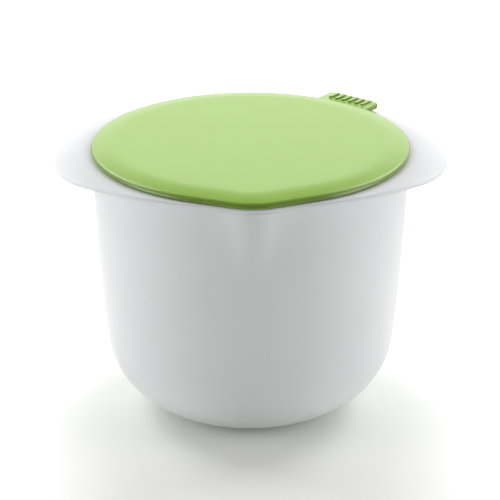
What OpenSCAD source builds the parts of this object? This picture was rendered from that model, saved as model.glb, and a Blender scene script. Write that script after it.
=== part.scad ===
// Yogurt and fresh-cheese maker for the microwave: a deep bowl with a pour spout, a strainer basket whose
// brim lies on the bowl's rim and spreads into two wing handles, and a soft lid with a grip tab.
// The origin is the middle of the flat face that the bowl stands on. +Z is up, the spout points along -Y,
// and the wings lie along X.

/* [Bowl] */
// Outer radius of the rim
bowl_r = 71.6; // [64:0.1:86]
// Height of the rim above the table
bowl_h = 121.6; // [102:0.1:146]
// Thickness of the wall
bowl_wall = 2.4; // [1.8:0.1:3]
// Draft of the wall at the rim, in degrees
bowl_draft = 1.3; // [0.8:0.1:2]
// Radius of the wall's slight bulge between rim and corner
bowl_bulge_r = 1100; // [900:10:2000]
// Radius of the corner between wall and bottom
bowl_corner_r = 36.5; // [30:0.5:40]
// Radius of the shallow dome of the bottom
bowl_dome_r = 165; // [140:1:200]

/* [Standing face] */
// Radius of the flat disc that the bowl stands on
foot_r = 31.5; // [25:0.5:34]
// Height of the disc's edge below the dome
foot_h = 0.8; // [0.5:0.1:1.5]
// Chamfer on the disc's edge
foot_chamfer = 0.4; // [0.2:0.1:0.4]

/* [Pour spout] */
// How far the tip stands out past the rim
spout_out = 3.2; // [2:0.1:4.5]
// Radius of the tip, seen from above
spout_tip_r = 12; // [10:0.5:15]
// Depth below the rim at which the spout has sunk into the wall
spout_depth = 34; // [25:1:45]
// How far the spout's two flat cheeks are sunk into the wall at the rim, so that they end in a clean edge
spout_tuck = 0.4; // [0.3:0.05:0.6]

/* [Brim of the strainer] */
// Thickness of the brim and the wings
brim_t = 1.8; // [1.4:0.1:2.4]
// How far the brim reaches past the lid along the sides
brim_show = 0.3; // [0.2:0.1:1]
// How far each wing reaches past the bowl's rim
wing_out = 17.4; // [14:0.2:21]
// How far the tip of a wing hangs below the brim
wing_drop = 4.6; // [3:0.1:6]
// How much smaller than the brim's half width the radius of a wing's end is
wing_shoulder = 12.3; // [10:0.1:15]

/* [Basket of the strainer] */
// Gap between the basket and the bowl at the rim
basket_gap = 0.6; // [0.4:0.1:1.2]
// Thickness of the basket's wall and floor
basket_wall = 1.8; // [1.5:0.1:2.4]
// Draft of the basket's wall, in degrees
basket_draft = 4; // [3.8:0.1:6]
// Radius of the corner between the basket's wall and floor
basket_corner_r = 24; // [20:0.5:30]
// Depth of the whey space between the bowl's floor and the basket
whey_depth = 11.6; // [10:0.2:18]

/* [Windows of the basket] */
// Number of windows round the basket
window_count = 8; // [7:1:10]
// Width of the ribs between the windows
rib_w = 6; // [4:0.5:8]
// Height of the closed band under the brim
band_h = 13.6; // [10:0.2:20]
// Distance from the basket's corner up to the lower windows
window_lift = 3; // [2:0.5:6]
// Height of the hoop between the two rows of windows
hoop_h = 6; // [4:0.5:9]
// Radius of the windows' corners
window_corner_r = 4; // [2:0.5:6]
// Radius of the closed hub in the floor
hub_r = 9; // [6:0.5:12]
// Width of the closed ring of floor outside the floor windows
floor_ring_w = 4; // [3:0.5:6]
// Width of the spokes in the floor
spoke_w = 4; // [3:0.5:6]

/* [Screens] */
// Thickness of the screens
screen_t = 0.6; // [0.4:0.1:0.9]
// How far a screen's edge laps over the frame, in its pocket
screen_seat = 1.6; // [1:0.1:2]
// Clearance round a screen in its pocket
screen_clear = 0.05; // [0.02:0.01:0.1]
// Width of the drain slots
slot_w = 1; // [0.6:0.1:1.4]
// Spacing of the drain slots, middle to middle
slot_pitch = 2.6; // [2:0.1:4]
// Solid margin inside a window before the first slot
slot_margin = 1.2; // [0.8:0.1:2]

/* [Lid] */
// How far the lid reaches past the bowl's rim
lid_cover = 0.4; // [0.2:0.1:1]
// Thickness of the lid
lid_t = 3.2; // [2.4:0.1:4.5]
// Height of the lid's widest line above its underside
lid_edge_h = 1.2; // [0.8:0.1:1.6]
// How far the lower edge is tucked in under the widest line
lid_tuck = 0.9; // [0.4:0.1:1.4]
// Height of the ring under the lid that centres it in the basket's mouth
ring_h = 1.6; // [1.2:0.1:1.8]
// Width of the ring
ring_w = 2.4; // [1.6:0.1:3]
// Gap between the ring and the basket's mouth
ring_gap = 0.7; // [0.5:0.05:1]

/* [Grip tab of the lid] */
// Direction of the tab, in degrees from the back towards +X
tab_turn = 37; // [0:1:90]
// Width of the tab
tab_w = 28; // [20:0.5:36]
// How far the tab reaches past the lid's edge
tab_out = 10; // [7:0.5:14]
// Thickness of the tab
tab_t = 2.4; // [1.8:0.1:2.6]
// Radius of the tab's corners
tab_corner_r = 3; // [1.5:0.5:5]
// Number of grip ribs on the tab
grip_count = 6; // [3:1:8]
// Width of a grip rib
grip_w = 1.6; // [1:0.1:2]
// Height of a grip rib above the tab
grip_h = 0.7; // [0.3:0.1:1]
// Distance from the tab's end to the ribs
grip_inset = 1.5; // [1:0.1:2.5]

/* [Hidden] */
$fn = 180;
PP_WHITE = [0.95, 0.96, 0.96];
SCREEN_WHITE = [0.88, 0.9, 0.9];
SILICONE_GREEN = [0.62, 0.8, 0.35];
CUT = 1;              // how far a cutting shape runs past the face it cuts
CHORD_SAG = 0.02;     // how far a computed arc's chords may leave the arc
TUCK_STEPS = 3;       // chords along the lid's tucked lower edge
ROLL_STEPS = 10;      // chords along the lid's rolled top edge
LID_FACETS = 144;     // facets round the lid's plate
NOSE_FACETS = 48;     // facets round the lid's nose

// Bowl: a bulged wall, a corner and a dome, three arcs that touch one another
wall_c = [bowl_r - bowl_bulge_r * cos(bowl_draft), bowl_h + bowl_bulge_r * sin(bowl_draft)];
dome_c = [0, foot_h + sqrt(bowl_dome_r ^ 2 - foot_r ^ 2)];
corner_c = meeting_point(wall_c, bowl_bulge_r - bowl_corner_r, dome_c, bowl_dome_r - bowl_corner_r);
wall_end = direction(corner_c - wall_c);
corner_end = direction(corner_c - dome_c);
bowl_mouth_r = bowl_radius_at(bowl_h, bowl_wall);
inner_dome_end = asin((bowl_wall - dome_c[1]) / (bowl_dome_r - bowl_wall));

// Spout
spout_tip = bowl_r + spout_out;
spout_lean = atan((spout_tip - bowl_radius_at(bowl_h - spout_depth, 0)) / spout_depth);
spout_run = 1.2 * spout_depth;     // past the depth at which the wall has swallowed it

// Lid and brim, seen from above
lid_r = bowl_r + lid_cover;
brim_half_w = lid_r + brim_show;
brim_half_l = bowl_r + wing_out;
brim_z = bowl_h + brim_t;
wing_end_r = brim_half_w - wing_shoulder;
wing_end_x = brim_half_l - wing_end_r;
side_c = (wing_end_x ^ 2 - wing_shoulder ^ 2) / (2 * wing_shoulder);
side_r = brim_half_w + side_c;
droop_run = brim_half_l - brim_half_w;
droop_r = (droop_run ^ 2 + wing_drop ^ 2) / (2 * wing_drop);
brim_clip_h = 3 * wing_drop + brim_t;    // deep enough for the wings' drooping tips

// Basket
basket_top_r = bowl_mouth_r - basket_gap;
basket_z = bowl_wall + whey_depth;
basket_corner_c = [
    basket_radius_at(basket_z + basket_corner_r) - basket_corner_r / cos(basket_draft),
    basket_z + basket_corner_r
];
mouth_r = basket_inner_r_at(bowl_h);
brim_root_r = (basket_top_r + mouth_r) / 2;
window_z0 = basket_corner_c[1] + window_lift;
window_h = (bowl_h - band_h - window_z0 - hoop_h) / 2;
window_rows = [
    [window_z0, window_z0 + window_h],
    [window_z0 + window_h + hoop_h, bowl_h - band_h]
];
window_start_r = basket_inner_r_at(window_z0) * cos(180 / window_count) - CUT;
floor_window_r = basket_corner_c[0] - floor_ring_w;
floor_screen_r = floor_window_r + screen_seat;

// Lid
lid_tip = lid_r + spout_out;
lid_roll_w = spout_tip_r;
tab_root_r = lid_r - lid_roll_w / 2;

// ---- geometry helpers ----

function direction(v) = atan2(v[1], v[0]);

// The lower of the two points at distance pr from p and qr from q, where q lies on the right of p
function meeting_point(p, pr, q, qr) =
    let (v = q - p, d = norm(v), u = v / d, along = (pr ^ 2 - qr ^ 2 + d ^ 2) / (2 * d))
    p + along * u + sqrt(pr ^ 2 - along ^ 2) * [u[1], -u[0]];

// Points on an arc from angle a0 to a1, with the first one left out if skip is 1
function arc(c, r, a0, a1, skip = 0) =
    let (n = max(1, ceil(abs(a1 - a0) / (2 * acos(1 - CHORD_SAG / r)))))
    [for (i = [skip : n]) c + r * [cos(a0 + (a1 - a0) * i / n), sin(a0 + (a1 - a0) * i / n)]];

function reversed(list) = [for (i = [len(list) - 1 : -1 : 0]) list[i]];

function bowl_radius_at(z, inset) = wall_c[0] + sqrt((bowl_bulge_r - inset) ^ 2 - (z - wall_c[1]) ^ 2);

function basket_radius_at(z) = basket_top_r - (bowl_h - z) * tan(basket_draft);

function basket_inner_r_at(z) = basket_radius_at(z) - basket_wall / cos(basket_draft);

// The bowl's side from the rim down to angle a_end on the dome, moved inwards by inset
function bowl_side(inset, a_end) = concat(
    arc(wall_c, bowl_bulge_r - inset,
        asin((bowl_h - wall_c[1]) / (bowl_bulge_r - inset)), wall_end),
    arc(corner_c, bowl_corner_r - inset, wall_end, corner_end, 1),
    arc(dome_c, bowl_dome_r - inset, corner_end, a_end, 1)
);

// The basket's side from height top down to its flat floor, moved inwards by inset
function basket_side(inset, top) = concat(
    [[basket_radius_at(top) - inset / cos(basket_draft), top]],
    arc(basket_corner_c, basket_corner_r - inset, -basket_draft, -90)
);

// Half the width of a window at height z, seen straight on, with a margin added
function window_half_w(z, margin) = basket_radius_at(z) * sin(180 / window_count) - rib_w / 2 + margin;

// Everything inside the basket's side moved inwards by inset, up to height top
module basket_core(inset, top) {
    rotate_extrude() polygon(concat([[0, top]], basket_side(inset, top), [[0, basket_z + inset]]));
}

// ---- bowl ----

// A rounded nose seen from above, with its tip on -Y: two straight cheeks that leave a circle of radius
// base_r round [0, base_y], and the round tip that they touch
module nose_outline(base_r, base_y, tip_r, tip_y) {
    turn = acos((base_r - tip_r) / (tip_y + base_y));
    right = concat(
        [[base_r * sin(turn), base_y - base_r * cos(turn)]],
        reversed(arc([0, -tip_y], tip_r, -90, turn - 90))
    );
    polygon(concat([[0, 0]], right, [for (p = reversed(right)) if (p[0] > 0) [-p[0], p[1]]]));
}

// The spout leans inwards as it goes down, until the wall has swallowed it, and ends level at height top
module spout(inset, top) {
    intersection() {
        translate([0, -spout_tip, bowl_h])
            rotate([spout_lean, 0, 0])
                translate([0, spout_tip, -spout_run])
                    linear_extrude(spout_run + 2 * CUT)
                        nose_outline(bowl_r - inset - spout_tuck, 0,
                            spout_tip_r - inset, spout_tip - spout_tip_r);
        cylinder(r = 2 * bowl_r, h = top);
    }
}

module bowl_outside() {
    rotate_extrude()
        polygon(concat(
            [[0, bowl_h]],
            bowl_side(0, -acos(foot_r / bowl_dome_r)),
            [[foot_r, foot_chamfer], [foot_r - foot_chamfer, 0], [0, 0]]
        ));
}

// The hollow, with a flat middle where the wall's thickness above the standing face ends it
module bowl_inside() {
    side = bowl_side(bowl_wall, inner_dome_end);
    rotate_extrude()
        polygon(concat([[0, bowl_h + CUT], [side[0][0], bowl_h + CUT]], side, [[0, bowl_wall]]));
}

module bowl() {
    color(PP_WHITE)
    difference() {
        union() {
            bowl_outside();
            spout(0, bowl_h);
        }
        bowl_inside();
        spout(bowl_wall, bowl_h + CUT);
    }
}

// ---- strainer ----

// An oval of four arcs that touch one another: two long sides and two wing ends
module oval_outline() {
    touch = atan2(wing_end_x, side_c);
    quarter = concat(
        arc([0, -side_c], side_r, 90, 90 - touch),
        arc([wing_end_x, 0], wing_end_r, 90 - touch, 0, 1)
    );
    right = concat(quarter, [for (p = reversed(quarter)) if (p[1] > 0) [p[0], -p[1]]]);
    polygon(concat(right, [for (p = reversed(right)) if (p[0] > 0) [-p[0], p[1]]]));
}

// The brim's flat nose over the bowl's spout, outside the basket's mouth
module brim_nose_outline() {
    difference() {
        nose_outline(side_r - spout_tuck, side_c, spout_tip_r, brim_half_w + spout_out - spout_tip_r);
        circle(brim_root_r);
    }
}

// Flat over the bowl's rim, then bent down towards the wing tips
module brim() {
    far = asin((droop_run + CUT) / droop_r);
    bend_c = [brim_half_w, brim_z - droop_r];
    intersection() {
        rotate_extrude()
            polygon(concat(
                [[brim_root_r, brim_z]],
                arc(bend_c, droop_r, 90, 90 - far),
                arc(bend_c, droop_r - brim_t, 90 - far, 90),
                [[brim_root_r, bowl_h]]
            ));
        translate([0, 0, brim_z - brim_clip_h]) linear_extrude(brim_clip_h + CUT) oval_outline();
    }
    translate([0, 0, bowl_h]) linear_extrude(brim_t) brim_nose_outline();
}

// An upright outline between two heights, whose sides follow the basket's draft. A margin widens it on all
// sides, and corner_r rounds its corners.
module window_outline(z0, z1, margin, corner_r) {
    slope = atan((window_half_w(z1, 0) - window_half_w(z0, 0)) / (z1 - z0));
    low_z = z0 - margin + corner_r;
    high_z = z1 + margin - corner_r;
    low = [window_half_w(low_z, margin) - corner_r / cos(slope), low_z];
    high = [window_half_w(high_z, margin) - corner_r / cos(slope), high_z];
    right = corner_r > 0
        ? concat(arc(low, corner_r, -90, -slope), arc(high, corner_r, -slope, 90))
        : [low, high];
    polygon(concat(right, [for (p = reversed(right)) [-p[0], p[1]]]));
}

// Stands an outline up, facing outwards in the middle of each window, and runs it through the wall
module through_wall() {
    for (i = [0 : window_count - 1])
        rotate([90, 0, 90 + (i + 0.5) * 360 / window_count])
            translate([0, 0, window_start_r])
                linear_extrude(basket_top_r - window_start_r + CUT) children();
}

// A wall screen covers both windows above one another
module wall_screen_outline(margin) {
    window_outline(window_z0, bowl_h - band_h, margin, 0);
}

module floor_windows() {
    difference() {
        circle(floor_window_r);
        circle(hub_r);
        for (i = [0 : window_count - 1])
            rotate(i * 360 / window_count)
                translate([0, -spoke_w / 2]) square([floor_window_r + CUT, spoke_w]);
    }
}

module strainer_frame() {
    color(PP_WHITE)
    difference() {
        union() {
            brim();
            basket_core(0, brim_z);
        }
        basket_core(basket_wall, brim_z + CUT);
        for (row = window_rows)
            through_wall() window_outline(row[0], row[1], 0, window_corner_r);
        // Pockets on the inside, which the wall screens lie in flush with the wall
        intersection() {
            through_wall() wall_screen_outline(screen_seat);
            basket_core(basket_wall - screen_t, bowl_h);
        }
        translate([0, 0, basket_z - CUT]) linear_extrude(basket_wall + 2 * CUT) floor_windows();
        translate([0, 0, basket_z + basket_wall - screen_t]) cylinder(r = floor_screen_r, h = screen_t + CUT);
    }
}

// Upright slots side by side in each of the two windows
module wall_slots() {
    for (row = window_rows) {
        z0 = row[0] + slot_margin;
        z1 = row[1] - slot_margin;
        last = floor((window_half_w(z0, -slot_margin) - slot_w / 2) / slot_pitch);
        for (i = [-last : last])
            translate([i * slot_pitch - slot_w / 2, z0]) square([slot_w, z1 - z0]);
    }
}

module wall_screens() {
    color(SCREEN_WHITE)
    intersection() {
        through_wall() difference() {
            wall_screen_outline(screen_seat - screen_clear);
            wall_slots();
        }
        difference() {
            basket_core(basket_wall - screen_t + screen_clear, bowl_h);
            basket_core(basket_wall, bowl_h + CUT);
        }
    }
}

// Straight slots across the disc, each as long as the floor windows' circle lets it be
module floor_slots() {
    reach = floor_window_r - slot_margin;
    last = floor((reach - slot_w) / slot_pitch);
    for (i = [-last : last]) {
        x = i * slot_pitch;
        half_l = sqrt(reach ^ 2 - (abs(x) + slot_w / 2) ^ 2);
        for (s = [-1, 1])
            translate([x - slot_w / 2, s > 0 ? slot_margin : -half_l]) square([slot_w, half_l - slot_margin]);
    }
}

module floor_screen() {
    color(SCREEN_WHITE)
    translate([0, 0, basket_z + basket_wall - screen_t])
        linear_extrude(screen_t) difference() {
            circle(floor_screen_r - screen_clear);
            floor_slots();
        }
}

// ---- lid ----

// A round puck of the lid's thickness: its lower edge is tucked in, and its top rolls over in a quarter
// ellipse
module lid_puck(r, facets) {
    roll_h = lid_t - lid_edge_h;
    rotate_extrude($fn = facets)
        polygon(concat(
            [[0, 0]],
            [for (a = [0 : 90 / TUCK_STEPS : 90])
                [r + lid_tuck * (sin(a) - 1), lid_edge_h * (1 - cos(a))]],
            [for (a = [90 / ROLL_STEPS : 90 / ROLL_STEPS : 90])
                [r + lid_roll_w * (cos(a) - 1), lid_edge_h + roll_h * sin(a)]],
            [[0, lid_t]]
        ));
}

// The lid's plate, drawn out to a nose over the spout
module lid_plate() {
    hull() {
        lid_puck(lid_r, LID_FACETS);
        translate([0, spout_tip_r - lid_tip, 0]) lid_puck(spout_tip_r, NOSE_FACETS);
    }
}

// The ring under the lid, round along its lower edge
module locating_ring() {
    outer_r = mouth_r - ring_gap;
    round_r = ring_w / 2;
    rotate_extrude()
        polygon(concat(
            [[outer_r, CUT], [outer_r - ring_w, CUT]],
            arc([outer_r - round_r, round_r - ring_h], round_r, 180, 360)
        ));
}

module grip_tab() {
    end_r = lid_r + tab_out;
    half = tab_w / 2 - tab_corner_r;
    grip_l = tab_out - tab_corner_r;
    grip_start = end_r - grip_inset - grip_l;
    grip_pitch = (tab_w - 2 * tab_corner_r) / grip_count;
    rotate([0, 0, 90 - tab_turn]) {
        linear_extrude(tab_t) {
            translate([tab_root_r, -tab_w / 2]) square([end_r - tab_corner_r - tab_root_r, tab_w]);
            translate([tab_root_r, -half]) square([end_r - tab_root_r, 2 * half]);
            for (s = [-1, 1]) translate([end_r - tab_corner_r, s * half]) circle(tab_corner_r);
        }
        for (i = [0 : grip_count - 1])
            translate([grip_start, (i - (grip_count - 1) / 2) * grip_pitch - grip_w / 2, tab_t / 2])
                cube([grip_l, grip_w, tab_t / 2 + grip_h]);
    }
}

module lid() {
    color(SILICONE_GREEN)
    translate([0, 0, brim_z]) {
        lid_plate();
        locating_ring();
        grip_tab();
    }
}

bowl();
strainer_frame();
wall_screens();
floor_screen();
lid();
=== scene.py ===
"""Looks of the yogurt maker: smooth meshes of its mouldings, their materials, and a pale studio."""
import math

import bmesh
import bpy
import numpy as np
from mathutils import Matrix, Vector


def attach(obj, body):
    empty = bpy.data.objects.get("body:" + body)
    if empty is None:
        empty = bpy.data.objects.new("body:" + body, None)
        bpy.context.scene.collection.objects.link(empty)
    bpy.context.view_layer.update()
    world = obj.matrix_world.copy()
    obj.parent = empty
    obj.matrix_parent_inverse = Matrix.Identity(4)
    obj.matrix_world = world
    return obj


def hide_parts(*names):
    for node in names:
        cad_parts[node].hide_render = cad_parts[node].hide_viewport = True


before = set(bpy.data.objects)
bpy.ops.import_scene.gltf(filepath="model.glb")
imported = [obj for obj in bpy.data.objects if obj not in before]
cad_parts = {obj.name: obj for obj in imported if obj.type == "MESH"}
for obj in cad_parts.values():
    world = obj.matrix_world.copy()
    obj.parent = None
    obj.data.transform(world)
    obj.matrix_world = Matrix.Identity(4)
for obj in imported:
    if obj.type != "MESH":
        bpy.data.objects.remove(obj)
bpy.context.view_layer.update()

MM = 0.001
TURN = 2 * math.pi

# ---- sizes in millimetres ----
# They are the CAD model's, but for those marked photo, which follow the photograph more closely, and the
# small roundings and blends, which only this script has.

BOWL_R = 71.6                     # outer radius of the rim
BOWL_H = 121.6                    # height of the rim
BOWL_WALL = 2.4
BOWL_DRAFT = math.radians(1.3)    # of the wall, at the rim
BOWL_BULGE_R = 1100.0             # of the wall's slight bulge
BOWL_CORNER_R = 36.5              # between wall and bottom
BOWL_DOME_R = 165.0               # of the bottom's shallow dome
FOOT_R = 31.5                     # of the flat disc that the bowl stands on
FOOT_H = 0.8                      # of the disc's edge, below the dome
FOOT_ROUND = 0.5                  # radius on the disc's edge
RIM_ROUND = 0.7                   # radius on the rim's two edges

SPOUT_OUT = 3.8                   # photo: how far the tip stands out past the rim
SPOUT_TIP_R = 24.0                # photo: radius of the brim's and the lid's tip, seen from above
BOWL_SPOUT_TIP_R = 19.0           # photo: the same of the bowl's, a little tighter
BOWL_SPOUT_MORE = 0.3             # photo: how much further out the bowl's tip stands
SPOUT_DEPTH = 34.0                # below the rim, where the spout has sunk into the wall
SPOUT_REACH = 1.3                 # in spout depths, how far down the wall its blend is worked out
SPOUT_TUCK = 0.15                 # how far the cheeks are sunk into the wall at the rim
SPOUT_BLEND = 1.2                 # how softly the spout runs into the wall

BRIM_T = 1.8
BRIM_SHOW = 0.3                   # how far the brim reaches past the lid along the sides
BRIM_EDGE_R = 0.85                # the brim's edge is rounded nearly to a half circle
WING_OUT = 17.4                   # how far a wing reaches past the bowl's rim
WING_DROP = 4.6                   # how far its tip hangs below the brim
WING_SHOULDER = 12.3              # how much smaller than the brim's half width the radius of its end is
LEVEL_NOSE = math.radians(20)     # the brim doesn't droop within this angle of the spout
DROOP_FADE = math.radians(6)      # over which the droop sets in

BASKET_GAP = 0.6                  # between basket and bowl, at the rim
BASKET_WALL = 1.8
BASKET_DRAFT = math.radians(4)
BASKET_CORNER_R = 24.0            # between wall and floor
BASKET_FILLET = 0.8               # under the brim
BASKET_FILLET_GAP = 0.3           # from the fillet down to the first ring of the wall
MOUTH_ROUND = 0.5                 # radius on the mouth's upper edge
WHEY_DEPTH = 11.6                 # between the bowl's floor and the basket
WINDOW_COUNT = 8
WINDOW_CORNER_R = 4.0
WINDOW_LIFT = 3.0                 # from the basket's corner up to the lower windows
RIB_W = 6.0                       # between the windows
BAND_H = 13.6                     # of the closed band under the brim
HOOP_H = 6.0                      # between the two rows of windows
HUB_R = 9.0                       # of the floor's closed hub
FLOOR_RING_W = 4.0                # of the closed ring outside the floor's windows
SPOKE_W = 4.0
CUT = 1.0                         # how far a cutter runs past the face that it cuts

LID_COVER = 0.4                   # how far the lid reaches past the bowl's rim
LID_T = 4.0                       # photo: at the flat crown
LID_BAND = 12.0                   # photo: width of the band that slopes down to the edge
LID_EDGE_H = 1.1                  # photo: height of the widest line, at the back
LID_EDGE_H_FRONT = 0.4            # photo: and over the spout
LID_EDGE_R = 1.5                  # photo: radius between the side and the band, at the back
LID_EDGE_R_FRONT = 2.3            # photo: and over the spout
LID_TUCK = 0.9                    # how far the lower edge is tucked in
RING_H = 1.6                      # of the ring underneath
RING_W = 2.4
RING_GAP = 0.7                    # between the ring and the basket's mouth
RING_FILLET = 0.3                 # at the ring's root

TAB_TURN = math.radians(39)       # photo: from the back towards +X
TAB_W = 28.0
TAB_OUT = 10.0                    # how far the tab reaches past the lid's edge
TAB_T = 2.4
TAB_CORNER_R = 3.0
TAB_ROUND = 0.5                   # radius on the tab's upper and lower edges
TAB_BEVEL = 0.15                  # how far the middle of that radius is cut in
GRIP_COUNT = 6
GRIP_W = 1.6
GRIP_H = 0.7                      # above the tab
GRIP_CORNER_R = 0.5
GRIP_END_GAP = 1.5                # from the tab's end to the ribs

# ---- how finely the meshes are divided ----

AROUND = 432                      # points round a moulding
WALL_STEPS, CORNER_STEPS, DOME_STEPS = 70, 40, 12
RIM_STEPS, FOOT_STEPS = 6, 4
BOWL_FLOOR_RINGS = (2, 8, 16, 22)                  # radii of the rings across a flat face
FOOT_RINGS = (24, 16, 8, 2)
BASKET_FLOOR_RINGS = (4, 12, 20, 28, 34)
LID_UNDER_RINGS = (50, 30, 12, 3)
LID_CROWN_SHARES = (0.05, 0.2, 0.4, 0.6, 0.8, 0.93)
BASKET_WALL_RINGS, BASKET_CORNER_STEPS, FILLET_RINGS = 40, 20, 5
MOUTH_TURNS = (0.4, 0.8, 1.2, math.pi / 2)         # angles along the mouth's rounded edge
BRIM_TOP = np.linspace(0.06, 1, 28)                # shares of the way from the mouth to the brim's edge
BRIM_UNDER = np.linspace(1, 0.42, 18)
BRIM_EDGE_RINGS = 13
TIP_POINTS, CHEEK_POINTS = 22, 14                  # round the lid's nose
BAND_STEPS, EDGE_STEPS, TUCK_STEPS, RING_ROUND_STEPS = 20, 10, 8, 12
WINDOW_CORNER_STEPS, TAB_CORNER_STEPS, GRIP_CORNER_STEPS = 5, 8, 3
HUB_STEPS, FLOOR_WINDOW_STEPS = 3, 12


# ---- plane geometry ----

def arc(c, r, a0, a1, n):
    """n + 1 points on an arc, angles in radians."""
    a = np.linspace(a0, a1, n + 1)
    return np.stack([c[0] + r * np.cos(a), c[1] + r * np.sin(a)], 1)


def meeting_point(p, pr, q, qr):
    """The lower of the two points at distance pr from p and qr from q, where q lies on the right of p."""
    v = q - p
    d = np.linalg.norm(v)
    u = v / d
    along = (pr ** 2 - qr ** 2 + d ** 2) / (2 * d)
    return p + along * u + math.sqrt(pr ** 2 - along ** 2) * np.array([u[1], -u[0]])


def smooth_max(a, b, k):
    """The larger of a and b, blended where they are less than k apart."""
    h = np.clip(k - np.abs(a - b), 0, None) / k
    return np.maximum(a, b) + h * h * k / 4


def rounded_outline(points, radius, steps):
    """A convex outline with its corners rounded."""
    out = []
    n = len(points)
    for i in range(n):
        p, a, b = (np.array(points[k % n], float) for k in (i, i - 1, i + 1))
        u, v = (a - p) / np.linalg.norm(a - p), (b - p) / np.linalg.norm(b - p)
        half = math.acos(np.clip(u @ v, -1, 1)) / 2
        c = p + (u + v) / np.linalg.norm(u + v) * radius / math.sin(half)
        s, e = p + u * radius / math.tan(half) - c, p + v * radius / math.tan(half) - c
        for k in range(steps + 1):
            w = s * (1 - k / steps) + e * k / steps
            out.append(tuple(c + w / np.linalg.norm(w) * radius))
    return out


# ---- derived sizes ----

BRIM_Z = BOWL_H + BRIM_T
LID_R = BOWL_R + LID_COVER
BRIM_HALF_W = LID_R + BRIM_SHOW
BRIM_HALF_L = BOWL_R + WING_OUT
WING_END_R = BRIM_HALF_W - WING_SHOULDER
WING_END_X = BRIM_HALF_L - WING_END_R
SIDE_C = (WING_END_X ** 2 - WING_SHOULDER ** 2) / (2 * WING_SHOULDER)
SIDE_R = BRIM_HALF_W + SIDE_C
DROOP_RUN = BRIM_HALF_L - BRIM_HALF_W
DROOP_R = (DROOP_RUN ** 2 + WING_DROP ** 2) / (2 * WING_DROP)
DROOP_LIMIT = DROOP_R * 0.95      # a run past the droop's radius has no height

# The bowl's side is three arcs that touch one another: a bulged wall, a corner and a dome
WALL_C = np.array([
    BOWL_R - BOWL_BULGE_R * math.cos(BOWL_DRAFT),
    BOWL_H + BOWL_BULGE_R * math.sin(BOWL_DRAFT),
])
DOME_C = np.array([0.0, FOOT_H + math.sqrt(BOWL_DOME_R ** 2 - FOOT_R ** 2)])
CORNER_C = meeting_point(WALL_C, BOWL_BULGE_R - BOWL_CORNER_R, DOME_C, BOWL_DOME_R - BOWL_CORNER_R)


def bowl_radius_at(z, inset=0.0):
    return WALL_C[0] + np.sqrt((BOWL_BULGE_R - inset) ** 2 - (z - WALL_C[1]) ** 2)


BASKET_TOP_R = bowl_radius_at(BOWL_H, BOWL_WALL) - BASKET_GAP
BASKET_Z = BOWL_WALL + WHEY_DEPTH


def basket_radius_at(z, inset=0.0):
    return BASKET_TOP_R - (BOWL_H - z) * math.tan(BASKET_DRAFT) - inset / math.cos(BASKET_DRAFT)


BASKET_CORNER_C = (
    basket_radius_at(BASKET_Z + BASKET_CORNER_R, BASKET_CORNER_R),
    BASKET_Z + BASKET_CORNER_R,
)
MOUTH_R = basket_radius_at(BRIM_Z, BASKET_WALL)
WINDOW_Z0 = BASKET_CORNER_C[1] + WINDOW_LIFT
WINDOW_H = (BOWL_H - BAND_H - WINDOW_Z0 - HOOP_H) / 2
WINDOW_ROWS = [
    (WINDOW_Z0, WINDOW_Z0 + WINDOW_H),
    (WINDOW_Z0 + WINDOW_H + HOOP_H, BOWL_H - BAND_H),
]
FLOOR_WINDOW_R = BASKET_CORNER_C[0] - FLOOR_RING_W

SPOUT_TIP = BOWL_R + SPOUT_OUT + BOWL_SPOUT_MORE
SPOUT_SLOPE = (SPOUT_TIP - bowl_radius_at(BOWL_H - SPOUT_DEPTH)) / SPOUT_DEPTH


# ---- mesh helpers ----

def object_from(name, verts_mm, faces):
    mesh = bpy.data.meshes.new(name)
    mesh.from_pydata([tuple(v) for v in np.asarray(verts_mm) * MM], [], faces)
    mesh.validate()
    mesh.update()
    obj = bpy.data.objects.new(name, mesh)
    bpy.context.scene.collection.objects.link(obj)
    return obj


def ring_mesh(name, rings, start, end):
    """A closed surface from rings of equal length, each an array of 3-D points, between two pole points."""
    count = len(rings[0])
    verts = [p for ring in rings for p in ring]
    faces = []
    for i in range(len(rings) - 1):
        for j in range(count):
            k = (j + 1) % count
            faces.append((i * count + j, i * count + k, (i + 1) * count + k, (i + 1) * count + j))
    first_pole, last = len(verts), (len(rings) - 1) * count
    verts += [start, end]
    faces += [(first_pole, (j + 1) % count, j) for j in range(count)]
    faces += [(first_pole + 1, last + j, last + (j + 1) % count) for j in range(count)]
    return object_from(name, verts, faces)


def prism(points_2d, low, high, place):
    """Vertices and faces of a prism on a 2-D outline. place turns (u, v, w) into the part's frame."""
    n = len(points_2d)
    verts = [place(u, v, w) for w in (low, high) for u, v in points_2d]
    faces = [tuple(range(n))[::-1], tuple(range(n, 2 * n))]
    faces += [(i, (i + 1) % n, n + (i + 1) % n, n + i) for i in range(n)]
    return verts, faces


def joined(name, parts):
    """One object from several (vertices, faces) pairs."""
    verts, faces = [], []
    for v, f in parts:
        base = len(verts)
        verts += v
        faces += [tuple(i + base for i in face) for face in f]
    return object_from(name, verts, faces)


def shade(obj, angle=30):
    """Smooth shading, with a crease at every edge sharper than angle degrees."""
    bm = bmesh.new()
    bm.from_mesh(obj.data)
    bmesh.ops.recalc_face_normals(bm, faces=bm.faces)
    bm.to_mesh(obj.data)
    bm.free()
    obj.data.shade_smooth()
    obj.data.set_sharp_from_angle(angle=math.radians(angle))


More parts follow.
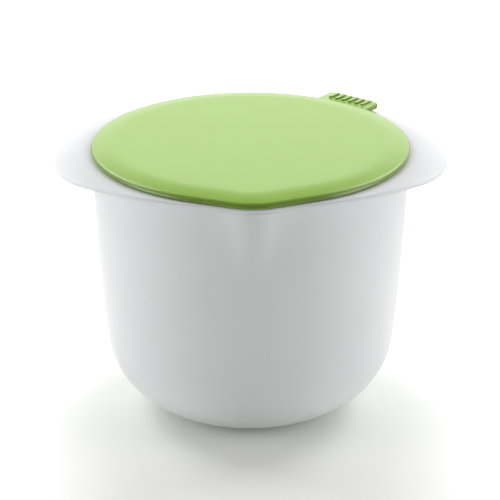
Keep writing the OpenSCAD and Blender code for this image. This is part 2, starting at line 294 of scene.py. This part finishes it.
def boolean(obj, tool, operation):
    """Cut or join tool, which is used up."""
    modifier = obj.modifiers.new(operation.lower(), "BOOLEAN")
    modifier.operation = operation
    modifier.solver = "EXACT"
    modifier.object = tool
    bpy.context.view_layer.update()
    mesh = bpy.data.meshes.new_from_object(obj.evaluated_get(bpy.context.evaluated_depsgraph_get()))
    obj.modifiers.clear()
    old = obj.data
    obj.data = mesh
    bpy.data.meshes.remove(old)
    bpy.data.objects.remove(tool)


# ---- the nose over the spout, which bowl, brim and lid share ----

theta = np.linspace(0, TURN, AROUND, endpoint=False)      # 0 at the spout, which points along -Y
DIRS = np.stack([np.sin(theta), -np.cos(theta)], 1)
off_nose = np.abs((theta + math.pi) % TURN - math.pi)     # angle away from the spout, either side
CHEEK_LIMIT = 1.4                                         # angle, short of where a cheek's line runs away


def root(value):
    return np.sqrt(np.clip(value, 0, None))


def nose_radius(base_r, base_y, tip_r, tip_y, sink):
    """Distance from the axis to a nose's outline along DIRS, with the nose moved back to the axis by sink.

    The outline is the round tip, a straight cheek, then the circle that the cheek leaves, which drops away.
    """
    turn = math.acos((base_r - tip_r) / (tip_y + base_y))
    back, ahead = base_y + sink, tip_y - sink
    tip = ahead * np.cos(off_nose) + root(tip_r ** 2 - (ahead * np.sin(off_nose)) ** 2)
    cheek = (base_r - back * math.cos(turn)) / np.cos(np.clip(off_nose - turn, -CHEEK_LIMIT, CHEEK_LIMIT))
    circle = -back * np.cos(off_nose) + root(base_r ** 2 - (back * np.sin(off_nose)) ** 2)
    touch = math.atan2(tip_r * math.sin(turn), ahead + tip_r * math.cos(turn))
    leave = math.atan2(base_r * math.sin(turn), base_r * math.cos(turn) - back)
    past = np.clip(off_nose - leave, 0, None)
    dropped = circle - base_r * past ** 2
    return np.where(off_nose < touch, tip, np.where(off_nose < leave, cheek, dropped))


def round_ring(r, z):
    return np.column_stack([DIRS * r, np.full(AROUND, z)])


# ---- bowl ----

def bowl_ring(r, z, inset):
    """A ring of the bowl at height z, bulged out by the spout."""
    radius = np.full(AROUND, r)
    sink = (BOWL_H - z) * SPOUT_SLOPE
    if r > BOWL_R / 2 and z > BOWL_H - SPOUT_REACH * SPOUT_DEPTH:
        nose = nose_radius(BOWL_R - inset - SPOUT_TUCK, 0, BOWL_SPOUT_TIP_R - inset,
                           SPOUT_TIP - BOWL_SPOUT_TIP_R, sink)
        wall = bowl_radius_at(z, inset)
        radius = smooth_max(np.full(AROUND, wall), nose, SPOUT_BLEND) - wall + r
    return np.column_stack([DIRS * radius[:, None], np.full(AROUND, z)])


def bowl_profile(inset, foot_end):
    """(r, z) from the rim down to the bottom's flat middle."""
    wall_end = math.atan2(*(CORNER_C - WALL_C)[::-1])
    corner_end = math.atan2(*(CORNER_C - DOME_C)[::-1])
    r = BOWL_BULGE_R - inset
    start = math.asin((BOWL_H - RIM_ROUND - WALL_C[1]) / r)
    return np.concatenate([
        arc(WALL_C, r, start, wall_end, WALL_STEPS),
        arc(CORNER_C, BOWL_CORNER_R - inset, wall_end, corner_end, CORNER_STEPS)[1:],
        arc(DOME_C, BOWL_DOME_R - inset, corner_end, foot_end, DOME_STEPS)[1:],
    ])


def make_bowl():
    outer = bowl_profile(0, -math.acos(FOOT_R / BOWL_DOME_R))
    inner = bowl_profile(BOWL_WALL, math.asin((BOWL_WALL - DOME_C[1]) / (BOWL_DOME_R - BOWL_WALL)))
    out_r, in_r = outer[0][0], inner[0][0]
    top_z = BOWL_H - RIM_ROUND
    rim = np.concatenate([
        arc((in_r + RIM_ROUND, top_z), RIM_ROUND, math.pi, math.pi / 2, RIM_STEPS),
        arc((out_r - RIM_ROUND, top_z), RIM_ROUND, math.pi / 2, 0, RIM_STEPS),
    ])
    foot = arc((FOOT_R - FOOT_ROUND, FOOT_ROUND), FOOT_ROUND, 0, -math.pi / 2, FOOT_STEPS)
    rings = [bowl_ring(r, BOWL_WALL, 0) for r in BOWL_FLOOR_RINGS]
    rings += [bowl_ring(r, z, BOWL_WALL) for r, z in inner[::-1]]
    rings += [bowl_ring(r, z, 0 if r > (in_r + out_r) / 2 else BOWL_WALL) for r, z in rim[1:-1]]
    rings += [bowl_ring(r, z, 0) for r, z in outer]
    rings += [bowl_ring(r, z, 0) for r, z in foot]
    rings += [bowl_ring(r, 0.0, 0) for r in FOOT_RINGS]
    obj = ring_mesh("bowl_shell", rings, (0, 0, BOWL_WALL), (0, 0, 0))
    shade(obj)
    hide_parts("bowl")
    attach(obj, "bowl")
    return obj


# ---- strainer ----

def oval_radius():
    """Distance from the axis to the brim's oval along DIRS."""
    x, y = np.abs(DIRS[:, 0]), np.abs(DIRS[:, 1])
    side = -SIDE_C * y + np.sqrt((SIDE_C * y) ** 2 - SIDE_C ** 2 + SIDE_R ** 2)
    end = WING_END_X * x + root((WING_END_X * x) ** 2 - WING_END_X ** 2 + WING_END_R ** 2)
    touch_x = SIDE_R * WING_END_X / math.hypot(WING_END_X, SIDE_C)
    return np.where(side * x > touch_x, end, side)


BRIM_R = smooth_max(
    oval_radius(),
    nose_radius(SIDE_R - SPOUT_TUCK, SIDE_C, SPOUT_TIP_R, BRIM_HALF_W + SPOUT_OUT - SPOUT_TIP_R, 0),
    SPOUT_BLEND,
)


def droop(r):
    """How far the brim has bent down at distance r from the axis; it stays flat over the spout."""
    run = np.clip(r - BRIM_HALF_W, 0, DROOP_LIMIT)
    fade = np.clip((off_nose - LEVEL_NOSE) / DROOP_FADE, 0, 1)
    return (DROOP_R - np.sqrt(DROOP_R ** 2 - run ** 2)) * fade * fade * (3 - 2 * fade)


def brim_ring(share, inset, below):
    """A ring on the brim, below its top by below.

    share runs from 0 at the mouth to 1 at the edge less inset.
    """
    radius = MOUTH_R + (BRIM_R - inset - MOUTH_R) * share
    return np.column_stack([DIRS * radius[:, None], BRIM_Z - droop(radius) - below])


def basket_rings(inset, top):
    """Rings down the basket's side, from height top to the edge of its flat floor."""
    z_end = BASKET_CORNER_C[1] - math.sin(BASKET_DRAFT) * (BASKET_CORNER_R - inset)
    rings = [round_ring(basket_radius_at(z, inset), z) for z in np.linspace(top, z_end, BASKET_WALL_RINGS)]
    corner = arc(BASKET_CORNER_C, BASKET_CORNER_R - inset, -BASKET_DRAFT, -math.pi / 2, BASKET_CORNER_STEPS)
    return rings + [round_ring(r, z) for r, z in corner[1:]]


def window_cutters():
    """Prisms for the windows in the wall, two to a column, and for those between the floor's spokes."""
    parts = []
    start = basket_radius_at(WINDOW_Z0, BASKET_WALL) * math.cos(math.pi / WINDOW_COUNT) - CUT
    for i in range(WINDOW_COUNT):
        a = (i + 0.5) * TURN / WINDOW_COUNT
        facing, side = (math.cos(a), math.sin(a)), (-math.sin(a), math.cos(a))

        def place(u, v, w, facing=facing, side=side):
            return (facing[0] * w + side[0] * u, facing[1] * w + side[1] * u, v)

        for z0, z1 in WINDOW_ROWS:
            half = [basket_radius_at(z) * math.sin(math.pi / WINDOW_COUNT) - RIB_W / 2 for z in (z0, z1)]
            corners = [(-half[0], z0), (half[0], z0), (half[1], z1), (-half[1], z1)]
            outline = rounded_outline(corners, WINDOW_CORNER_R, WINDOW_CORNER_STEPS)
            parts.append(prism(outline, start, BASKET_TOP_R + CUT, place))
    for i in range(WINDOW_COUNT):
        a0, a1 = i * TURN / WINDOW_COUNT, (i + 1) * TURN / WINDOW_COUNT
        outline = []
        for r, steps, flip in ((HUB_R, HUB_STEPS, 1), (FLOOR_WINDOW_R, FLOOR_WINDOW_STEPS, -1)):
            skip = math.asin(SPOKE_W / 2 / r)
            line = [(r * math.cos(a), r * math.sin(a)) for a in np.linspace(a0 + skip, a1 - skip, steps + 1)]
            outline += line[::flip]
        parts.append(prism(outline, BASKET_Z - CUT, BASKET_Z + BASKET_WALL + CUT, lambda u, v, w: (u, v, w)))
    return joined("window_cutters", parts)


def mouth_ring(a):
    """A ring on the mouth's rounded edge, at angle a from its start."""
    ring = brim_ring(0, 0, MOUTH_ROUND * (1 - math.sin(a)))
    return ring + np.column_stack([DIRS * MOUTH_ROUND * (1 - math.cos(a)), np.zeros(AROUND)])


def make_strainer():
    edge, middle, fillet = BRIM_EDGE_R, BRIM_T / 2, BASKET_FILLET
    rings = [round_ring(r, BASKET_Z + BASKET_WALL) for r in BASKET_FLOOR_RINGS]
    rings += basket_rings(BASKET_WALL, BRIM_Z - MOUTH_ROUND)[::-1]
    rings += [mouth_ring(a) for a in MOUTH_TURNS]
    rings += [brim_ring(s, edge, 0) for s in BRIM_TOP]
    for a in np.linspace(math.pi / 2, -math.pi / 2, BRIM_EDGE_RINGS)[1:-1]:
        rings.append(brim_ring(1, edge - edge * math.cos(a), middle - middle * math.sin(a)))
    rings += [brim_ring(s, edge, BRIM_T) for s in BRIM_UNDER]
    outer_r = basket_radius_at(BOWL_H)
    for a in np.linspace(math.pi / 2, math.pi, FILLET_RINGS):
        r, z = outer_r + fillet + fillet * math.cos(a), BOWL_H - fillet + fillet * math.sin(a)
        rings.append(round_ring(r, z))
    rings += basket_rings(0, BOWL_H - fillet - BASKET_FILLET_GAP)
    rings += [round_ring(r, BASKET_Z) for r in BASKET_FLOOR_RINGS[::-1]]
    obj = ring_mesh("strainer_moulding", rings, (0, 0, BASKET_Z + BASKET_WALL), (0, 0, BASKET_Z))
    shade(obj)
    boolean(obj, window_cutters(), "DIFFERENCE")
    shade(obj)
    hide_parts("strainer_frame")
    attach(obj, "strainer")
    return obj


# ---- lid ----

def lid_outline():
    """Points and outward normals round the lid: the nose's tip, a cheek, the circle, the other cheek."""
    tip_y = LID_R + SPOUT_OUT - SPOUT_TIP_R
    turn = math.acos((LID_R - SPOUT_TIP_R) / tip_y)
    circle_points = AROUND - 2 * TIP_POINTS - 2 * CHEEK_POINTS
    segments = [                                  # centre, radius, first and last normal angle, points
        ((0, -tip_y), SPOUT_TIP_R, 0, turn, TIP_POINTS),
        (None, 0, turn, turn, CHEEK_POINTS),
        ((0, 0), LID_R, turn, TURN - turn, circle_points),
        (None, 0, -turn, -turn, CHEEK_POINTS),
        ((0, -tip_y), SPOUT_TIP_R, -turn, 0, TIP_POINTS),
    ]
    points, normals = [], []
    for centre, radius, a0, a1, count in segments:
        for k in range(count):
            a = a0 + (a1 - a0) * k / count
            n = np.array([math.sin(a), -math.cos(a)])
            if centre is None:
                tip_end, circle_end = np.array([0, -tip_y]) + n * SPOUT_TIP_R, n * LID_R
                share = k / count if a > 0 else 1 - k / count
                p = tip_end * (1 - share) + circle_end * share
            else:
                p = np.array(centre) + n * radius
            points.append(p)
            normals.append(n)
    return np.array(points), np.array(normals)


def lid_edge(normals):
    """Round the lid: the height of its widest line, its edge's radius, and the band's slope there.

    The slope is the one that brings the band up to the flat crown, found by halving.
    """
    front = ((1 - normals[:, 1]) / 2) ** 3
    edge_h = LID_EDGE_H + (LID_EDGE_H_FRONT - LID_EDGE_H) * front
    edge_r = LID_EDGE_R + (LID_EDGE_R_FRONT - LID_EDGE_R) * front
    steepest, halvings = 1.2, 40
    low, high = np.zeros(len(front)), np.full(len(front), steepest)
    for _ in range(halvings):
        slope = (low + high) / 2
        rise = (LID_BAND - edge_r * (1 - np.sin(slope))) * np.tan(slope) / 2
        over = edge_h + edge_r * np.cos(slope) + rise > LID_T
        low, high = np.where(over, low, slope), np.where(over, slope, high)
    return edge_h, edge_r, slope


def make_tab():
    """The grip tab, a flat tongue with rounded edges and raised ribs, from inside the plate outwards."""
    end_r = LID_R + TAB_OUT
    root_r = LID_R - LID_BAND
    half = TAB_W / 2
    corners = [(root_r, -half), (end_r, -half), (end_r, half), (root_r, half)]
    outline = rounded_outline(corners, TAB_CORNER_R, TAB_CORNER_STEPS)
    c, s = math.sin(TAB_TURN), math.cos(TAB_TURN)

    def place(u, v, w):
        return (c * u - s * v, s * u + c * v, BRIM_Z + w)

    centre = np.mean(outline, axis=0)
    half_profile = ((0, TAB_ROUND), (TAB_BEVEL, TAB_BEVEL), (TAB_ROUND, 0))     # height, inset
    rings = []
    for w, inset in half_profile + tuple((TAB_T - w, inset) for w, inset in half_profile[::-1]):
        ring = []
        for p in outline:
            v = np.array(p) - centre
            ring.append(place(*(centre + v * (1 - inset / np.linalg.norm(v))), w))
        rings.append(np.array(ring))
    tab = ring_mesh("tab", rings, place(*centre, 0), place(*centre, TAB_T))
    grip_l = TAB_OUT - TAB_CORNER_R
    pitch = (TAB_W - 2 * TAB_CORNER_R) / GRIP_COUNT
    u0 = end_r - GRIP_END_GAP - grip_l
    ribs = []
    for i in range(GRIP_COUNT):
        v0 = (i - (GRIP_COUNT - 1) / 2) * pitch
        corners = [(u0, v0 - GRIP_W / 2), (u0 + grip_l, v0 - GRIP_W / 2),
                   (u0 + grip_l, v0 + GRIP_W / 2), (u0, v0 + GRIP_W / 2)]
        outline = rounded_outline(corners, GRIP_CORNER_R, GRIP_CORNER_STEPS)
        ribs.append(prism(outline, TAB_T / 2, TAB_T + GRIP_H, place))
    boolean(tab, joined("ribs", ribs), "UNION")
    shade(tab)
    return tab


def make_lid():
    points, normals = lid_outline()

    def ring(inset, height):
        inset, height = np.broadcast_to(inset, len(points)), np.broadcast_to(height, len(points))
        return np.column_stack([points - normals * inset[:, None], BRIM_Z + height])

    def under_ring(r, height):
        return np.column_stack([normals * r, np.full(len(points), BRIM_Z + height)])

    edge_h, edge_r, slope = lid_edge(normals)
    start = edge_r * (1 - np.sin(slope))
    start_h = edge_h + edge_r * np.cos(slope)
    top = ring(LID_BAND, LID_T)
    rings = [top * [s, s, 0] + [0, 0, BRIM_Z + LID_T] for s in LID_CROWN_SHARES]
    rings.append(top)
    for s in np.linspace(0, 1, BAND_STEPS + 1)[1:]:
        rings.append(ring(LID_BAND + (start - LID_BAND) * s, LID_T + (start_h - LID_T) * s * s))
    for s in np.linspace(0, 1, EDGE_STEPS + 1)[1:]:
        turn = slope + (math.pi / 2 - slope) * s
        rings.append(ring(edge_r * (1 - np.sin(turn)), edge_h + edge_r * np.cos(turn)))
    for a in np.linspace(math.pi / 2, 0, TUCK_STEPS + 1)[1:]:
        rings.append(ring(LID_TUCK * (1 - math.sin(a)), edge_h * (1 - math.cos(a))))
    outer_r = basket_radius_at(BOWL_H, BASKET_WALL) - RING_GAP
    inner_r = outer_r - RING_W
    round_r = RING_W / 2
    rings.append(under_ring(outer_r + RING_FILLET, 0))
    for r, z in arc((outer_r - round_r, round_r - RING_H), round_r, 0, -math.pi, RING_ROUND_STEPS):
        rings.append(under_ring(r, z))
    rings.append(under_ring(inner_r - RING_FILLET, 0))
    rings += [under_ring(r, 0) for r in LID_UNDER_RINGS]
    obj = ring_mesh("lid_cover", rings, (0, 0, BRIM_Z + LID_T), (0, 0, BRIM_Z))
    shade(obj)
    boolean(obj, make_tab(), "UNION")
    shade(obj)
    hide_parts("lid")
    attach(obj, "lid")
    return obj


# ---- materials ----

BLOTCH_MM = 35            # size of the soft variation in colour
SMUDGE_MM = 9             # and in gloss
GLOSS_VARY = 0.02         # in roughness, either way
GRAIN_DEPTH_MM = 0.004
SCATTER_MM = 2.5          # how far light spreads under the surface


def add_node(tree, kind, inputs=(), **settings):
    """A new shader node. inputs pairs a socket's name or number with a value or another node's output."""
    node = tree.nodes.new("ShaderNode" + kind)
    for key, value in settings.items():
        setattr(node, key, value)
    for key, value in dict(inputs).items():
        if isinstance(value, bpy.types.NodeSocket):
            tree.links.new(value, node.inputs[key])
        else:
            node.inputs[key].default_value = value
    return node


def moulded(name, colour, rough, specular, subsurface, vary, grain_mm):
    """A moulded surface with a fine grain, whose colour varies softly by the share vary."""
    mat = bpy.data.materials.new(name)
    mat.use_nodes = True
    tree = mat.node_tree
    shader = tree.nodes["Principled BSDF"]
    for key, value in {
        "Base Color": (*colour, 1),
        "Roughness": rough,
        "IOR": 1.5,
        "Specular IOR Level": specular,
        "Subsurface Weight": subsurface,
        "Subsurface Radius": (1.0, 1.0, 1.0),
        "Subsurface Scale": SCATTER_MM * MM,
    }.items():
        shader.inputs[key].default_value = value
    where = add_node(tree, "TexCoord").outputs["Object"]

    def noise(size_mm, detail):
        inputs = {"Vector": where, "Scale": 1 / (size_mm * MM), "Detail": detail}
        return add_node(tree, "TexNoise", inputs).outputs["Fac"]

    ramp = add_node(tree, "ValToRGB", {"Fac": noise(BLOTCH_MM, 2)})
    for stop, position, factor in zip(ramp.color_ramp.elements, (0.3, 0.7), (1 - vary, 1 + vary)):
        stop.position = position
        stop.color = (*[min(1, c * factor) for c in colour], 1)
    gloss = add_node(tree, "MapRange", {
        "Value": noise(SMUDGE_MM, 4), "To Min": rough - GLOSS_VARY, "To Max": rough + GLOSS_VARY,
    })
    bump = add_node(tree, "Bump", {
        "Strength": 1, "Distance": GRAIN_DEPTH_MM * MM, "Height": noise(grain_mm, 3),
    })
    tree.links.new(ramp.outputs["Color"], shader.inputs["Base Color"])
    tree.links.new(gloss.outputs["Result"], shader.inputs["Roughness"])
    tree.links.new(bump.outputs["Normal"], shader.inputs["Normal"])
    return mat


def paint_shade_on_upright_faces(mat, least, power):
    """Paint shade into the colour: full value on level upper faces, darkened to the share least on upright
    ones.

    With a larger power, more of the change comes near level.
    """
    tree = mat.node_tree
    colour = tree.nodes["Principled BSDF"].inputs["Base Color"]
    where = add_node(tree, "TexCoord").outputs["Normal"]
    up = add_node(tree, "SeparateXYZ", {"Vector": where}).outputs["Z"]
    level = add_node(tree, "Math", {0: up, 1: power}, operation="POWER", use_clamp=True)
    fade = add_node(tree, "MapRange", {"Value": level.outputs["Value"], "To Min": least})
    painted_shade = add_node(tree, "VectorMath", {0: colour.links[0].from_socket, "Scale": fade.outputs["Result"]},
                    operation="SCALE")
    tree.links.new(painted_shade.outputs["Vector"], colour)


def plastic(name, colour, rough, specular, subsurface):
    return moulded(name, colour, rough, specular, subsurface, vary=0.006, grain_mm=3.0)


def silicone(name, colour):
    mat = moulded(name, colour, rough=0.3, specular=0.5, subsurface=0.1, vary=0.015, grain_mm=1.5)
    # painted shade: the colour of the lid's and tab's upright edges is darkened to half, as if shaded
    paint_shade_on_upright_faces(mat, least=0.5, power=5)
    return mat


def give(obj, mat):
    obj.data.materials.clear()
    obj.data.materials.append(mat)


# ---- studio ----

LIGHT_TARGET = (0, 0, 0.07)
FLOOR_SIZE = 14           # metres


def area_light(name, location, size, power, colour=(1, 1, 1)):
    lamp = bpy.data.lights.new(name, "AREA")
    lamp.shape = "RECTANGLE"
    lamp.size, lamp.size_y = size
    lamp.energy = power
    lamp.color = colour
    obj = bpy.data.objects.new(name, lamp)
    bpy.context.scene.collection.objects.link(obj)
    obj.location = location
    obj.rotation_mode = "QUATERNION"
    obj.rotation_quaternion = (Vector(LIGHT_TARGET) - Vector(location)).to_track_quat("-Z", "Y")
    return obj


def camera_sees(tree, seen, otherwise):
    """The shader seen for the camera's own rays, and the shader otherwise for all others."""
    path = add_node(tree, "LightPath")
    mix = add_node(tree, "MixShader", {"Fac": path.outputs["Is Camera Ray"], 1: otherwise, 2: seen})
    return mix.outputs["Shader"]


def make_world(across, rise, base):
    """A studio with its own level in every direction, which the camera sees as plain white.

    The level is base plus the product of two curves, both given as (direction, level) pairs: across runs
    from -1 in front of the spout to 1 behind, and rise from -1 straight down to 1 overhead.
    """
    world = bpy.data.worlds.new("studio")
    bpy.context.scene.world = world
    world.use_nodes = True
    tree = world.node_tree
    tree.nodes.clear()
    where = add_node(tree, "TexCoord").outputs["Generated"]
    split = add_node(tree, "SeparateXYZ", {"Vector": where})

    def combine(operation, a, b):
        return add_node(tree, "Math", {0: a, 1: b}, operation=operation).outputs["Value"]

    def level(stops, direction):
        top = max(value for _, value in stops)
        spread = add_node(tree, "MapRange", {"Value": direction, "From Min": -1})
        ramp = add_node(tree, "FloatCurve", {"Value": spread.outputs["Result"]})
        curve = ramp.mapping.curves[0]
        curve.points[0].location = (0, stops[0][1] / top)
        curve.points[1].location = (1, stops[-1][1] / top)
        for at, value in stops[1:-1]:
            curve.points.new((at + 1) / 2, value / top)
        for point in curve.points:
            point.handle_type = "VECTOR"
        ramp.mapping.update()
        return combine("MULTIPLY", ramp.outputs["Value"], top)

    product = combine("MULTIPLY", level(across, split.outputs["Y"]), level(rise, split.outputs["Z"]))
    studio = add_node(tree, "Background", {"Strength": combine("ADD", product, base)})
    white = add_node(tree, "Background", {"Color": (1, 1, 1, 1)})
    shader = camera_sees(tree, white.outputs["Background"], studio.outputs["Background"])
    add_node(tree, "OutputWorld", {"Surface": shader})


def make_floor(colour, seen, lift, glow, pool, fade, far):
    """A pale floor that keeps the soft shadow. The camera sees it in the colour seen, with lift added.

    The cast shadow shows within a pool, an oval (x, y, half width, half length) in metres. Between the
    distances fade, in units of the oval, a painted glow is added to lift, which lightens the shadow's outer
    part, and from there to the distance far it goes on to white.
    """
    bpy.ops.mesh.primitive_plane_add(size=FLOOR_SIZE, location=(0, 0, 0))
    floor = bpy.context.object
    floor.name = "floor"
    mat = bpy.data.materials.new("floor")
    mat.use_nodes = True
    tree = mat.node_tree
    tree.nodes.clear()
    x, y, half_w, half_l = pool
    where = add_node(tree, "TexCoord").outputs["Object"]
    oval = add_node(tree, "Mapping", {"Location": (x, y, 0), "Scale": (half_w, half_l, 1), "Vector": where},
                    vector_type="TEXTURE").outputs["Vector"]
    away = add_node(tree, "VectorMath", {0: oval}, operation="LENGTH").outputs["Value"]
    # painted light: the floor glows more the further it lies from the part, fading the cast shadow out
    near = add_node(tree, "MapRange", {
        "Value": away, "From Min": fade[0], "From Max": fade[1], "To Min": lift, "To Max": lift + glow,
    }, interpolation_type="SMOOTHSTEP")
    beyond = add_node(tree, "MapRange", {"Value": away, "From Min": fade[1], "From Max": far})
    strength = add_node(tree, "Math", {0: near.outputs["Result"], 1: beyond.outputs["Result"]})
    light = add_node(tree, "Emission", {"Strength": strength.outputs["Value"]})
    matte = add_node(tree, "BsdfDiffuse", {"Color": (*colour, 1)})
    bright = add_node(tree, "BsdfDiffuse", {"Color": (*seen, 1)})
    both = add_node(tree, "AddShader", {0: bright.outputs["BSDF"], 1: light.outputs["Emission"]})
    shader = camera_sees(tree, both.outputs["Shader"], matte.outputs["BSDF"])
    add_node(tree, "OutputMaterial", {"Surface": shader})
    floor.data.materials.append(mat)


def make_camera(azimuth, elevation, distance, aim, focal_px, photo_px):
    """The photograph's camera, at distance from aim. azimuth and elevation in degrees say where it stands."""
    azimuth, elevation, aim = math.radians(azimuth), math.radians(elevation), Vector(aim)
    back = Vector((
        -math.sin(azimuth) * math.cos(elevation),
        -math.cos(azimuth) * math.cos(elevation),
        math.sin(elevation),
    ))
    data = bpy.data.cameras.new("camera")
    data.sensor_width = 36
    data.lens = data.sensor_width * focal_px / photo_px
    obj = bpy.data.objects.new("camera", data)
    bpy.context.scene.collection.objects.link(obj)
    obj.rotation_mode = "QUATERNION"
    obj.location = aim + back * distance
    obj.rotation_quaternion = (-back).to_track_quat("-Z", "Y")
    bpy.context.scene.camera = obj


# ---- put together ----

make_camera(
    azimuth=0.976,
    elevation=22.782,
    distance=1.0104,
    aim=(-0.00024, 0, 0.07346),
    focal_px=2194.7,
    photo_px=500,
)
make_world(                       # dim in front, lighter low behind the part and dark overhead
    across=((-1, 0.0), (-0.2, 0.03), (0, 0.25), (0.4, 0.6), (1, 0.85)),
    rise=((-1, 1), (0.36, 1), (0.5, 0.8), (0.6, 0.56), (0.7, 0.38), (0.8, 0.15), (0.9, 0.05), (1, 0)),
    base=0.11,
)
make_floor(
    colour=(0.86, 0.91, 0.85),
    seen=(0.9, 0.91, 0.875),
    lift=0.035,
    glow=0.3,
    pool=(0, -0.03, 0.085, 0.18),
    fade=(0.6, 1.3),
    far=5,
)

SIDE_TINT, PLAIN = (1, 0.98, 1.03), (1, 1, 1)
BOXES = (                         # name, place on the right, size, power, colour
    ("front_box", (1.32, -0.41, 0.36), (0.8, 0.8), 8.2, SIDE_TINT),
    ("box", (1.31, -0.12, 0.55), (0.8, 1.0), 2.8, SIDE_TINT),
    ("back_box", (0.8, 0.7, 0.97), (0.8, 0.8), 10, PLAIN),
)
for side, sign in (("left", -1), ("right", 1)):
    for name, (x, y, z), size, power, colour in BOXES:
        area_light(f"{side}_{name}", (sign * x, y, z), size, power, colour)
# The photograph's veil on the lid: it shows in the gloss only, so that the bowl's back doesn't burn out
veil = area_light("low_back_veil", (0, 1.9, 0.5), (3.6, 1.3), 14)
veil.visible_diffuse = False

white = plastic("white_polypropylene", (0.715, 0.72, 0.725), 0.3, 0.25, 0.15)
screen = plastic("screen_plastic", (0.74, 0.77, 0.76), 0.5, 0.3, 0.1)
green = silicone("green_silicone", (0.325, 0.54, 0.073))

give(make_bowl(), white)
give(make_strainer(), white)
give(make_lid(), green)
for node in ("wall_screens", "floor_screen"):
    give(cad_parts[node], screen)

bpy.context.scene.view_settings.view_transform = "Standard"
